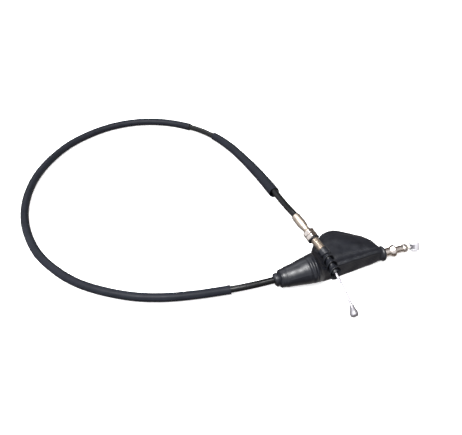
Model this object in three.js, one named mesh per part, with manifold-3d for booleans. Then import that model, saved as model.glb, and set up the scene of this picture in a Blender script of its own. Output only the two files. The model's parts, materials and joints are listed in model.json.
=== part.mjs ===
// A motorcycle clutch cable with its end fittings, lying on a flat surface in one open loop.
//
// Millimetres, +Z up. +X runs along the lever end, out of the rubber boot towards the barrel nipple.
// The origin is the bottom centre of the rigid fittings and the boot: the loop of casing isn't counted.
import {
  BufferAttribute, BufferGeometry, CatmullRomCurve3, Color, CylinderGeometry, Curve, ExtrudeGeometry, Group,
  LatheGeometry, Matrix4, Mesh, MeshStandardMaterial, Path, Shape, Vector2, Vector3,
} from 'three';
import { mergeVertices } from 'three/addons/utils/BufferGeometryUtils.js';
import Module from 'manifold-3d';

const wasm = await Module();
wasm.setup();

// ---------------------------------------------------------------- driving dimensions

const layoutShift = [-2, 1.5, 0];
const gap = 0.3; // between pieces that touch on the real cable

// Cord, from the inside out. The tubes are 8-sided, so these radii are to their corners.
const wireRadius = 1.1;
const linerBore = 1.45;
const linerRadius = 1.85;
const armourBore = 2.15;
const armourRadius = 2.45;
const coverBore = 2.75;
const conduitRadius = 3.1;
const sleeveBore = 3.6;
const sleeveRadius = 4.05;
const shortSleeveBores = [3.65, 4.8]; // at its tight end and at its open mouth
const shortSleeveRadii = [4.1, 5.4];
const cordSides = 8;
const stationPitch = 17.5; // along the casing, between the rings of its tubes

// Lever end, along +X at this height and side offset
const leverAxisY = 3;
const leverAxisZ = 7.2;
const wireTravel = 12; // of the inner wire, for a full pull of the lever
const leverFerruleBack = 13;
const leverCasingEnd = 28; // where the casing's cover stops inside the ferrule
const flangeFace = 46.8;
const noseEnd = 59.5;
const linerTip = 62.9;
const leverTubeRadius = 4.05;
const flangeRadius = 5.65;
const noseRadius = 3.3;
const ribRadius = 3.85;
const barrelX = 67.8;
const barrelRadius = 3.1;
const barrelLength = 8;
const barrelLean = Math.PI / 6; // of the barrel's axis from upright, away from -Y
const bushRadius = 4.45;
const bushLength = 9.2;
const bushCap = 1; // thickness of the bush's closed end
const bushTurn = (10 * Math.PI) / 180; // either way about the barrel

// Engine end: its axis passes through stemPoint and slopes down towards the pear nipple
const stemPoint = new Vector3(-25.2, 9, 26);
const stemHeading = (-75 * Math.PI) / 180;
const stemSlope = (-11 * Math.PI) / 180;
const stemRadius = 3.6;
const stemBore = 2.6;
const fittingBack = -42; // places along the stem's axis, from stemPoint
const engineCasingEnd = -30;
const innerWireEnd = engineCasingEnd + 4.5;
const dropStart = innerWireEnd + wireTravel + 1.5; // inner end of the bare wire, with room for its travel
const stemEnd = 3.5;
const crimpRadius = 4.4;
const waistRadius = 3.15;
const nutFlats = 10.2;
const nutThickness = 4;
const nutTurn = (20 * Math.PI) / 180; // of both nuts about the stem
const adjustingNutBack = -21.3;
const lockNutBack = adjustingNutBack + nutThickness + gap;
const washerBack = lockNutBack + nutThickness + gap;
const washerThickness = 1;
const washerRadius = 5.5;
const pearLength = 9.8;
const pearRadius = 3.7;
const pearHole = 5.5; // how deep the wire goes into it

// Dust boot
const bootStart = -68.4;
const bootEnd = 35.8;
const bootWall = 1.7;
const collarEnd = -64.4; // where the collar meets the cone
const collarBore = 3.6;

const roundSides = 20;

// ---------------------------------------------------------------- materials

function material(color, roughness, metalness) {
  return new MeshStandardMaterial({ color: new Color(color), roughness, metalness });
}

const rubber = material('#2b2d31', 0.6, 0);
const casingPlastic = material('#17181a', 0.35, 0);
const zincPlate = material('#bdb2a8', 0.3, 1);
const wireSteel = material('#c9c9c8', 0.35, 1);
const nylon = material('#dcdcde', 0.45, 0);
const linerPlastic = material('#e3dfd8', 0.5, 0);

// ---------------------------------------------------------------- solids

function toManifold(geometry) {
  const bare = geometry.clone();
  bare.deleteAttribute('normal');
  bare.deleteAttribute('uv');
  const merged = mergeVertices(bare, 1e-4);
  return new wasm.Manifold(new wasm.Mesh({
    numProp: 3,
    vertProperties: new Float32Array(merged.attributes.position.array),
    triVerts: new Uint32Array(merged.index.array),
  }));
}

function toGeometry(solid) {
  const mesh = solid.getMesh();
  const geometry = new BufferGeometry();
  geometry.setAttribute('position', new BufferAttribute(new Float32Array(mesh.vertProperties), 3));
  geometry.setIndex(new BufferAttribute(new Uint32Array(mesh.triVerts), 1));
  return geometry;
}

// A turned piece about +Y. The profile is [radius, y] points, and closes on itself.
function turned(profile, sides = roundSides) {
  const points = profile.map(([radius, y]) => new Vector2(radius, y));
  const geometry = new LatheGeometry([...points, points[0].clone()], sides);
  return toGeometry(outward(toManifold(geometry), geometry));
}

// The solid itself, or the same one built from reversed faces if the profile ran the other way round.
function outward(solid, geometry) {
  if (solid.volume() > 0) {
    return solid;
  }
  const flipped = geometry.clone();
  const index = flipped.index.array;
  for (let i = 0; i < index.length; i += 3) {
    [index[i], index[i + 1]] = [index[i + 1], index[i]];
  }
  return toManifold(flipped);
}

function ringSection(outer, inner, sides) {
  const corner = (radius, i) => {
    const angle = ((i + 0.5) / sides) * Math.PI * 2;
    return new Vector2(radius * Math.cos(angle), radius * Math.sin(angle));
  };
  const corners = Array.from({ length: sides }, (_, i) => i);
  const shape = new Shape(corners.map((i) => corner(outer, i)));
  if (inner > 0) {
    shape.holes.push(new Path(corners.map((i) => corner(inner, i))));
  }
  return shape;
}

// Part of a longer route, with its rings at the given distances along that route, so that tubes
// which lie one inside another have their rings at the same places.
class Stretch extends Curve {
  constructor(route, marks) {
    super();
    this.route = route;
    this.marks = marks;
  }

  along(u) {
    const place = u * (this.marks.length - 1);
    const i = Math.min(Math.floor(place), this.marks.length - 2);
    const distance = this.marks[i] + (this.marks[i + 1] - this.marks[i]) * (place - i);
    return distance / this.route.getLength();
  }

  getPointAt(u, target = new Vector3()) {
    return this.route.getPointAt(this.along(u), target);
  }

  getTangentAt(u, target = new Vector3()) {
    return this.route.getTangentAt(this.along(u), target);
  }
}

function marksBetween(from, to) {
  const marks = [from];
  for (let d = Math.ceil(from / stationPitch) * stationPitch; d < to - 2; d += stationPitch) {
    if (d > from + 2) {
      marks.push(d);
    }
  }
  return [...marks, to];
}

function tubeAlong(route, from, to, outer, inner, marks = marksBetween(from, to)) {
  return new ExtrudeGeometry(ringSection(outer, inner, cordSides), {
    steps: marks.length - 1,
    extrudePath: new Stretch(route, marks),
  });
}

// A closed skin over rings of equally many points, the rings running along +X or +Y
function lofted(rings) {
  const count = rings[0].length;
  const positions = rings.flat().flatMap((point) => [point.x, point.y, point.z]);
  const middle = (ring) => ring.reduce((sum, p) => sum.add(p), new Vector3()).divideScalar(count);
  const first = positions.length / 3;
  positions.push(...middle(rings[0]).toArray(), ...middle(rings.at(-1)).toArray());
  const index = [];
  for (let r = 0; r < rings.length - 1; r += 1) {
    for (let i = 0; i < count; i += 1) {
      const j = (i + 1) % count;
      const [a, b] = [r * count + i, r * count + j];
      index.push(a, a + count, b, b, a + count, b + count);
    }
  }
  const last = (rings.length - 1) * count;
  for (let i = 0; i < count; i += 1) {
    const j = (i + 1) % count;
    index.push(first, i, j, first + 1, last + j, last + i);
  }
  const geometry = new BufferGeometry();
  geometry.setAttribute('position', new BufferAttribute(new Float32Array(positions), 3));
  geometry.setIndex(index);
  return outward(toManifold(geometry), geometry);
}

// ---------------------------------------------------------------- placing

const leverDirection = new Vector3(1, 0, 0);
const stemDirection = new Vector3(
  Math.cos(stemSlope) * Math.cos(stemHeading),
  Math.cos(stemSlope) * Math.sin(stemHeading),
  Math.sin(stemSlope),
);
const barrelDirection = new Vector3(0, Math.sin(barrelLean), Math.cos(barrelLean));

// A group whose local +Y lies along a direction. Local +X stays level.
function axisGroup(origin, direction) {
  const side = new Vector3().crossVectors(direction, new Vector3(0, 0, 1)).normalize();
  const up = new Vector3().crossVectors(side, direction);
  const group = new Group();
  group.quaternion.setFromRotationMatrix(new Matrix4().makeBasis(side, direction, up));
  group.position.copy(origin);
  return group;
}

function onStem(distance) {
  return stemPoint.clone().addScaledVector(stemDirection, distance);
}

const cable = new Group();
const leverEnd = axisGroup(new Vector3(0, leverAxisY, leverAxisZ), leverDirection);
const engineEnd = axisGroup(stemPoint, stemDirection);
const barrel = axisGroup(new Vector3(barrelX, leverAxisY, leverAxisZ), barrelDirection);
cable.add(leverEnd, engineEnd, barrel);

function add(group, name, geometry, finish) {
  const mesh = new Mesh(geometry, finish);
  mesh.name = name;
  group.add(mesh);
  return mesh;
}

// ---------------------------------------------------------------- casing

// The middle line of the casing: from the liner's tip at the lever end, back through the boot,
// round the loop on the surface, and up into the threaded fitting, which lies across the boot.
const casingRoute = new CatmullRomCurve3([
  [linerTip, leverAxisY, leverAxisZ],
  [20, leverAxisY, leverAxisZ],
  [-30, leverAxisY, leverAxisZ],
  [-70, leverAxisY, leverAxisZ],
  [-84, leverAxisY, leverAxisZ],
  [-98, 4.2, 6.1],
  [-115, 6.6, 4.6],
  [-141, 9.8, 4.3],
  [-166.5, 14.7, 4.3],
  [-191, 23, 4.3],
  [-215.5, 36.3, 4.3],
  [-238, 53.5, 4.3],
  [-254.5, 73, 4.3],
  [-268, 96, 4.3],
  [-275.5, 119.7, 4.3],
  [-278.8, 143, 4.3],
  [-278, 166.4, 4.3],
  [-273, 190, 4.3],
  [-263.3, 213.7, 4.3],
  [-247, 237.2, 4.3],
  [-222.5, 259.6, 4.3],
  [-184, 276.5, 4.3],
  [-147, 278.8, 4.3],
  [-112.4, 268.5, 4.3],
  [-82, 246.5, 4.6],
  [-65.5, 225, 5.4],
  [-54, 200, 7.2],
  [-46.5, 168.5, 11.2],
  [-41.6, 135, 16.8],
  [-38.8, 100.5, 23.4],
  [-37.3, 70, 29.3],
  onStem(fittingBack).toArray(),
  onStem(engineCasingEnd).toArray(),
  onStem(adjustingNutBack).toArray(),
].map((point) => new Vector3(...point)), false, 'centripetal');
casingRoute.arcLengthDivisions = 2000;

// The distance along the casing at which it comes nearest to a point
function distanceNear(point) {
  const samples = 4000;
  let best = 0;
  let nearest = Infinity;
  for (let i = 0; i <= samples; i += 1) {
    const away = casingRoute.getPointAt(i / samples).distanceTo(point);
    if (away < nearest) {
      nearest = away;
      best = i / samples;
    }
  }
  return best * casingRoute.getLength();
}

const casingStart = linerTip - leverCasingEnd;
const casingFinish = distanceNear(onStem(engineCasingEnd));
const linerFinish = distanceNear(onStem(engineCasingEnd + 4));
const innerWireStart = linerTip - 33;
const innerWireFinish = distanceNear(onStem(innerWireEnd));

add(cable, 'conduit', tubeAlong(casingRoute, casingStart, casingFinish, conduitRadius, coverBore), casingPlastic);
add(
  cable,
  'spiral_armour',
  tubeAlong(casingRoute, casingStart + 0.5, casingFinish - 0.5, armourRadius, armourBore),
  wireSteel,
);
add(cable, 'liner', tubeAlong(casingRoute, 0, linerFinish, linerRadius, linerBore), linerPlastic);
add(cable, 'inner_wire', tubeAlong(casingRoute, innerWireStart, innerWireFinish, wireRadius, 0), wireSteel);

const longSleeveEnds = [new Vector3(-110, 6.2, 5), new Vector3(-86, 250, 4.5)].map(distanceNear);
add(cable, 'long_sleeve', tubeAlong(casingRoute, ...longSleeveEnds, sleeveRadius, sleeveBore), rubber);

// The short sleeve widens from its tight end to its open mouth.
function shortSleeve() {
  const [from, to] = [new Vector3(-64.6, 223.5, 5.5), new Vector3(-38.7, 95, 24.4)].map(distanceNear);
  const marks = marksBetween(from, to);
  const stretch = new Stretch(casingRoute, marks);
  const steps = marks.length - 1;
  const frames = stretch.computeFrenetFrames(steps);
  const skin = ([tight, open], overrun) => lofted(marks.map((_, s) => {
    const share = s / steps;
    const radius = tight + (open - tight) * share;
    const centre = stretch.getPointAt(share);
    if (s === 0 || s === steps) {
      centre.addScaledVector(frames.tangents[s], s === 0 ? -overrun : overrun);
    }
    return Array.from({ length: cordSides }, (_unused, i) => {
      const angle = ((i + 0.5) / cordSides) * Math.PI * 2;
      return centre.clone()
        .addScaledVector(frames.normals[s], radius * Math.cos(angle))
        .addScaledVector(frames.binormals[s], radius * Math.sin(angle));
    });
  }));
  return toGeometry(skin(shortSleeveRadii, 0).subtract(skin(shortSleeveBores, 1)));
}
add(cable, 'short_sleeve', shortSleeve(), rubber);

// ---------------------------------------------------------------- lever end

const casingSeat = leverCasingEnd + gap;
const ferruleBore = conduitRadius + 0.4;
const guideBore = linerRadius + 0.35;
add(leverEnd, 'lever_ferrule', turned([
  [ferruleBore, leverFerruleBack],
  [leverTubeRadius, leverFerruleBack],
  [leverTubeRadius, flangeFace - 4.4],
  [flangeRadius, flangeFace - 1.8],
  [flangeRadius, flangeFace],
  [noseRadius, flangeFace],
  [noseRadius, noseEnd - 4],
  [ribRadius, noseEnd - 3.4],
  [ribRadius, noseEnd - 0.6],
  [noseRadius, noseEnd],
  [guideBore, noseEnd],
  [guideBore, casingSeat + 0.6],
  [ferruleBore, casingSeat],
]), zincPlate);

// The wire's lever end: straight, from inside the ferrule to the middle of the barrel.
const leverWireBack = linerTip - innerWireStart + gap;
const wireRod = (length) => toGeometry(toManifold(new CylinderGeometry(wireRadius, wireRadius, length, 12)));
const leverWire = add(leverEnd, 'lever_wire', wireRod(barrelX - leverWireBack), wireSteel);
leverWire.position.y = (barrelX + leverWireBack) / 2;

// A hole along the lever axis, seen from inside the leaning barrel group
function acrossBarrel(geometry) {
  const solid = geometry.clone();
  solid.rotateZ(Math.PI / 2);
  return toManifold(solid);
}

const wireHole = wireRadius + gap;
const barrelSolid = toManifold(turned([
  [0, -barrelLength / 2],
  [barrelRadius - 0.4, -barrelLength / 2],
  [barrelRadius, -barrelLength / 2 + 0.4],
  [barrelRadius, barrelLength / 2 - 0.4],
  [barrelRadius - 0.4, barrelLength / 2],
  [0, barrelLength / 2],
]));
const barrelHole = new CylinderGeometry(wireHole, wireHole, 2 * barrelRadius + 2, 12);
add(barrel, 'barrel_nipple', toGeometry(barrelSolid.subtract(acrossBarrel(barrelHole))), zincPlate);

// The bush is a cup over the barrel, closed at its top end, with a slot for the wire on its -X side.
const bushBore = barrelRadius + gap;
const bushTop = barrelLength / 2 + gap + bushCap;
const bushBottom = bushTop - bushLength;
const bushSolid = toManifold(turned([
  [0, bushTop],
  [0, bushTop - bushCap],
  [bushBore, bushTop - bushCap],
  [bushBore, bushBottom],
  [bushRadius, bushBottom],
  [bushRadius, bushTop - 0.8],
  [bushRadius - 0.8, bushTop],
]));
const slotHalfWidth = bushRadius * Math.sin(Math.asin((wireRadius + 0.35) / bushBore) + bushTurn);
function slotCutter() {
  const outline = new Shape();
  outline.moveTo(-slotHalfWidth, bushBottom - 1);
  outline.lineTo(slotHalfWidth, bushBottom - 1);
  outline.lineTo(slotHalfWidth, 0);
  outline.absarc(0, 0, slotHalfWidth, 0, Math.PI, false);
  outline.lineTo(-slotHalfWidth, bushBottom - 1);
  const cutter = new ExtrudeGeometry(outline, { depth: bushRadius + 1, bevelEnabled: false, curveSegments: 4 });
  // The outline's depth turns to point along -X, which is local +X or -X by the group's own side axis.
  const side = new Vector3().crossVectors(barrelDirection, new Vector3(0, 0, 1)).normalize();
  cutter.rotateY(side.x > 0 ? -Math.PI / 2 : Math.PI / 2);
  return toManifold(cutter);
}
add(barrel, 'nylon_bush', toGeometry(bushSolid.subtract(slotCutter())), nylon);

// ---------------------------------------------------------------- engine end

const casingShoulder = engineCasingEnd + gap;
add(engineEnd, 'threaded_fitting', turned([
  [ferruleBore, fittingBack],
  [3.9, fittingBack],
  [crimpRadius, fittingBack + 5],
  [crimpRadius, fittingBack + 13],
  [waistRadius, fittingBack + 17.5],
  [waistRadius, adjustingNutBack - 2.2],
  [stemRadius, adjustingNutBack - 1.4],
  [stemRadius, stemEnd - 0.5],
  [stemRadius - 0.5, stemEnd],
  [stemBore, stemEnd],
  [stemBore, casingShoulder + 0.6],
  [ferruleBore, casingShoulder],
]), zincPlate);

const threadClearance = stemRadius + gap;
function hexNut(back) {
  const corner = nutFlats / Math.sqrt(3);
  const hexagon = new CylinderGeometry(corner, corner, nutThickness, 6);
  hexagon.rotateY(nutTurn);
  hexagon.translate(0, back + nutThickness / 2, 0);
  const front = back + nutThickness;
  const chamfer = turned([
    [0, back],
    [nutFlats / 2, back],
    [corner + 0.2, back + 0.6],
    [corner + 0.2, front - 0.6],
    [nutFlats / 2, front],
    [0, front],
  ]);
  const bore = new CylinderGeometry(threadClearance, threadClearance, nutThickness + 2, roundSides);
  bore.translate(0, back + nutThickness / 2, 0);
  return toGeometry(toManifold(hexagon).intersect(toManifold(chamfer)).subtract(toManifold(bore)));
}
add(engineEnd, 'adjusting_nut', hexNut(adjustingNutBack), zincPlate);
add(engineEnd, 'lock_nut', hexNut(lockNutBack), zincPlate);

add(engineEnd, 'rubber_washer', turned([
  [threadClearance, washerBack],
  [washerRadius - 0.3, washerBack],
  [washerRadius, washerBack + 0.3],
  [washerRadius, washerBack + washerThickness - 0.3],
  [washerRadius - 0.3, washerBack + washerThickness],
  [threadClearance, washerBack + washerThickness],
]), rubber);

// The middle line of the bellows and of the bare wire, drooping from the stem to the surface
const dropRoute = new CatmullRomCurve3([
  onStem(dropStart),
  onStem(dropStart / 2),
  stemPoint,
  onStem(5),
  new Vector3(-23.1, -3, 22.4),
  new Vector3(-21.2, -16.1, 18),
  new Vector3(-19.6, -28.5, 13.2),
  new Vector3(-18.4, -40, 8.6),
  new Vector3(-18.5, -45.2, 6.5),
  new Vector3(-19, -51, 4.4),
], false, 'centripetal');
dropRoute.arcLengthDivisions = 1000;
const stemPointOnDrop = -dropStart; // the distance along that line at which it passes stemPoint

// A turned piece bent along the drop line, its profile's y measured from stemPoint
function turnedAlongDrop(profile, sides = roundSides) {
  const geometry = turned(profile, sides);
  const place = geometry.attributes.position;
  const level = new Vector3(0, 0, 1);
  for (let i = 0; i < place.count; i += 1) {
    const u = Math.min((place.getY(i) + stemPointOnDrop) / dropRoute.getLength(), 1);
    const tangent = dropRoute.getTangentAt(u);
    const side = new Vector3().crossVectors(tangent, level).normalize();
    const up = new Vector3().crossVectors(side, tangent);
    const point = dropRoute.getPointAt(u)
      .addScaledVector(side, place.getX(i))
      .addScaledVector(up, place.getZ(i));
    place.setXYZ(i, ...point.toArray());
  }
  return geometry;
}

// The bellows: a collar on the stem, then three flared cups, the last one open
const cupPitch = 6.6;
const cupRadii = [5.5, 5.75, 6];
const throatRadius = 4;
const bellowsBore = 2.9;
const collarLength = 6.4;
function bellowsProfile() {
  const stemClearance = stemRadius + 0.35;
  const outside = [[4.9, 0], [5, collarLength - 0.6], [throatRadius, collarLength]];
  const inside = [[stemClearance, 0], [stemClearance, stemEnd + 0.5], [bellowsBore, stemEnd + 1.2]];
  cupRadii.forEach((radius, cup) => {
    const throat = collarLength + 0.6 + cup * cupPitch;
    const rim = throat + cupPitch - 1;
    const isLast = cup === cupRadii.length - 1;
    outside.push([throatRadius, throat], [radius, rim], [radius, rim + 0.6]);
    inside.push([bellowsBore, throat + 1], [radius - 1, rim]);
    inside.push(isLast ? [radius - 0.7, rim + 0.6] : [bellowsBore, rim + 0.9]);
    if (!isLast) {
      outside.push([throatRadius, rim + 0.8]);
    }
  });
  return [...inside.reverse(), ...outside];
}
add(cable, 'bellows', turnedAlongDrop(bellowsProfile(), 16), rubber);

const pearBack = dropRoute.getLength() - stemPointOnDrop - pearLength;
const pearOnDrop = pearBack + stemPointOnDrop;
const engineWireMarks = [0, 6, 12, 18, 24, 30, 36, 42, 48, 53, pearOnDrop, pearOnDrop + pearHole - gap];
add(
  cable,
  'engine_wire',
  tubeAlong(dropRoute, 0, engineWireMarks.at(-1), wireRadius, 0, engineWireMarks),
  wireSteel,
);

add(cable, 'pear_nipple', turnedAlongDrop([
  [wireHole, pearBack],
  [1.75, pearBack],
  [1.95, pearBack + 1.4],
  [2.6, pearBack + 3.6],
  [3.4, pearBack + 5.8],
  [pearRadius, pearBack + 7.4],
  [3.4, pearBack + 8.9],
  [2.5, pearBack + pearLength],
  [0, pearBack + pearLength],
  [0, pearBack + pearHole],
  [wireHole, pearBack + pearHole],
]), zincPlate);

// ---------------------------------------------------------------- dust boot

// Cross-sections of the boot. near and far are its sides in Y, low and high its bottom and top, and
// square runs from 2, an ellipse, upwards to a boxier outline. What dips below the surface is cut off flat.
const bootSections = [
  { x: bootStart, near: -3.3, far: 8.3, low: 1.4, high: 13, square: 2 },
  { x: -64.6, near: -3.3, far: 8.3, low: 1.4, high: 13, square: 2 },
  { x: -64.2, near: -6, far: 9.8, low: 0, high: 15.6, square: 2 },
  { x: -50, near: -9.2, far: 12.6, low: -0.4, high: 20.8, square: 2 },
  { x: -36.5, near: -11.7, far: 15, low: -0.4, high: 25, square: 2.1 },
  { x: -33, near: -11.9, far: 16, low: -0.4, high: 24, square: 2.1 },
  { x: -29.5, near: -10.8, far: 19, low: -0.4, high: 19.8, square: 2.3 },
  { x: -26, near: -10.2, far: 25.5, low: -0.4, high: 17.8, square: 2.6 },
  { x: -20, near: -9.3, far: 32.5, low: -0.4, high: 16.6, square: 2.8 },
  { x: -13, near: -8.3, far: 38, low: -0.4, high: 16.6, square: 3 },
  { x: -4, near: -7.2, far: 41.4, low: -0.4, high: 16.6, square: 3 },
  { x: 4.5, near: -6.2, far: 41, low: -0.4, high: 16.4, square: 3 },
  { x: 13, near: -5.3, far: 36.3, low: -0.4, high: 16, square: 3 },
  { x: 22, near: -4.4, far: 29.8, low: -0.4, high: 15.4, square: 2.8 },
  { x: 30, near: -3.7, far: 22, low: 0.3, high: 14.4, square: 2.5 },
  { x: 33.5, near: -3.1, far: 12.5, low: 0.8, high: 13.6, square: 2.2 },
  { x: bootEnd, near: -3.2, far: 9.8, low: 0.8, high: 13.6, square: 2 },
];
const bootRingPoints = 24;
const ridgeShare = 0.24; // how far the top leans down from the near side to the far side

function bootRing(section, x, inset) {
  const halfWidth = (section.far - section.near) / 2 - inset;
  const middleY = (section.far + section.near) / 2;
  const halfHeight = (section.high - section.low) / 2 - inset;
  const middleZ = (section.high + section.low) / 2;
  const power = 2 / section.square;
  const leans = Math.max(0, (section.far - section.near - (section.high - section.low)) / 30);
  return Array.from({ length: bootRingPoints }, (_, i) => {
    const angle = (i / bootRingPoints) * Math.PI * 2;
    const c = Math.cos(angle);
    const s = Math.sin(angle);
    const across = Math.sign(c) * Math.abs(c) ** power;
    const rise = Math.sign(s) * Math.abs(s) ** power;
    const drop = rise > 0 ? ridgeShare * leans * Math.max(0, across) * (section.high - section.low) : 0;
    return new Vector3(x, middleY + halfWidth * across, middleZ + halfHeight * rise - drop * rise);
  });
}

function dustBoot() {
  const outer = lofted(bootSections.map((section) => bootRing(section, section.x, 0)));
  const hollow = bootSections.filter((section) => section.x > collarEnd && section.x < bootEnd);
  const cavity = lofted(hollow.map((section, i) => {
    // The wall is measured square to the skin, so where the boot widens the cavity's ring moves along it.
    const [before, after] = [hollow[Math.max(i - 1, 0)], hollow[Math.min(i + 1, hollow.length - 1)]];
    const slope = (after.high - before.high) / (after.x - before.x);
    const shift = i === 0 ? bootWall : (bootWall * slope) / Math.hypot(1, slope);
    return bootRing(section, section.x + shift, bootWall);
  }));
  const throughBore = new CylinderGeometry(collarBore, collarBore, 12, roundSides);
  throughBore.rotateZ(Math.PI / 2);
  throughBore.translate(collarEnd, leverAxisY, leverAxisZ);
  const mouthRadius = leverTubeRadius + 0.55;
  const mouthBore = new CylinderGeometry(mouthRadius, mouthRadius, 26, roundSides);
  mouthBore.rotateZ(Math.PI / 2);
  mouthBore.translate(bootEnd - 8, leverAxisY, leverAxisZ);
  return toGeometry(
    outer
      .trimByPlane([0, 0, 1], 0)
      .subtract(cavity)
      .subtract(toManifold(throughBore))
      .subtract(toManifold(mouthBore))
      .subtract(hoodMouth()),
  );
}

// The slot along the hood's far edge, through which the lever and its perch pass
function hoodMouth() {
  const [from, to] = [-8, 24];
  const height = 7;
  const outline = new Shape();
  outline.moveTo(from, -height / 2);
  outline.lineTo(to, -height / 2);
  outline.absarc(to, 0, height / 2, -Math.PI / 2, Math.PI / 2, false);
  outline.lineTo(from, height / 2);
  outline.absarc(from, 0, height / 2, Math.PI / 2, (Math.PI * 3) / 2, false);
  const cutter = new ExtrudeGeometry(outline, { depth: 40, bevelEnabled: false, curveSegments: 6 });
  cutter.rotateX(Math.PI / 2);
  cutter.translate(0, 62, 6);
  return toManifold(cutter);
}
add(cable, 'dust_boot', dustBoot(), rubber);

// The numbers above are from a corner of the layout. This puts the origin at the middle of the fittings.
cable.position.set(...layoutShift);

export default cable;
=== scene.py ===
"""A motorcycle clutch cable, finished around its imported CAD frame.

Metres, +Z up, +X along the lever end of the cable. Lengths named in millimetres are multiplied by MM.
"""
import json
import math

import bmesh
import bpy
import numpy as np
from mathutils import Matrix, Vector


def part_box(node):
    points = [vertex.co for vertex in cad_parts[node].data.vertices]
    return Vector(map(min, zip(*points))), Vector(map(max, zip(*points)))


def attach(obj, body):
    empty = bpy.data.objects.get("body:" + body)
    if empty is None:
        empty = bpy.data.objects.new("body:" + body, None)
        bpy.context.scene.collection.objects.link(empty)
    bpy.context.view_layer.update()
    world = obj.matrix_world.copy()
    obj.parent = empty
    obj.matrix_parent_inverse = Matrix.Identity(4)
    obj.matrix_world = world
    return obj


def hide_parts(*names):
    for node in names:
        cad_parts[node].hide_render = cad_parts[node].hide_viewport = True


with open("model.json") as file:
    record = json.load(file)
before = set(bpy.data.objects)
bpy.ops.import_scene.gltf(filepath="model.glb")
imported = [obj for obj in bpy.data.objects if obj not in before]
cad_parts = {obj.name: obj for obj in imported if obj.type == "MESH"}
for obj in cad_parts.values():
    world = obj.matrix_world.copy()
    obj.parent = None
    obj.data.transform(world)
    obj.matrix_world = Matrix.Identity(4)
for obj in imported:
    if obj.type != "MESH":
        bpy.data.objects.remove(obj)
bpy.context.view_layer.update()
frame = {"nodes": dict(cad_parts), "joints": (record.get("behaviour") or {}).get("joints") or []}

MM = 0.001
TAU = 2 * math.pi

# ---- places taken from the frame

joints = {joint["name"]: joint for joint in frame["joints"]}


def unit(vector):
    return np.array(vector, float) / np.linalg.norm(vector)


def units(vectors):
    """Vectors along the last axis, each made one long."""
    return vectors / np.maximum(np.linalg.norm(vectors, axis=-1, keepdims=True), 1e-9)


def spread(angles, first, second):
    """Unit directions at those angles, counted from one direction towards another square to it."""
    return np.cos(angles)[:, None] * first + np.sin(angles)[:, None] * second


def angles_round(sides):
    return np.arange(sides) / sides * TAU


barrel_centre = np.array(joints["bush_turn"]["pos_m"])
barrel_axis = unit(joints["bush_turn"]["axis"])
stem_point = np.array(joints["lock_nut_turn"]["pos_m"])
stem_axis = unit(joints["lock_nut_turn"]["axis"])
lever_axis = np.array([1.0, 0.0, 0.0])
lever_point = np.array([0, barrel_centre[1], barrel_centre[2]])

# The cable's layout is drawn from a corner of its own, where the barrel nipple is here, in millimetres.
BARREL_IN_LAYOUT = np.array([67.8, 3, 7.2])
layout_corner = barrel_centre - BARREL_IN_LAYOUT * MM


def laid(points):
    """Points of the layout, in millimetres, as points of the frame, in metres."""
    return np.array(points, float) * MM + layout_corner


def span(node, origin, axis):
    """How far back and forward a CAD node reaches along an axis from an origin, in millimetres."""
    low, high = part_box(node)
    if abs(abs(axis[0]) - 1) < 1e-9:
        return (low[0] - origin[0]) / MM, (high[0] - origin[0]) / MM
    places = [(np.array(v.co) - origin) @ axis for v in frame["nodes"][node].data.vertices]
    return min(places) / MM, max(places) / MM


# ---- camera

CAMERA_PLACE = laid([-194.5, -270.8, 382.9])
CAMERA_DIRECTION = Vector((0.2067, 0.6762, -0.7071))
CAMERA_LENS = 42.2

camera = bpy.data.objects.new("camera", bpy.data.cameras.new("camera"))
camera.location = CAMERA_PLACE
camera.rotation_euler = CAMERA_DIRECTION.to_track_quat("-Z", "Y").to_euler()
camera.data.lens = CAMERA_LENS
camera.data.sensor_width = 36
camera.data.clip_start = 0.01
bpy.context.scene.collection.objects.link(camera)
bpy.context.scene.camera = camera

# ---- materials


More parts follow.
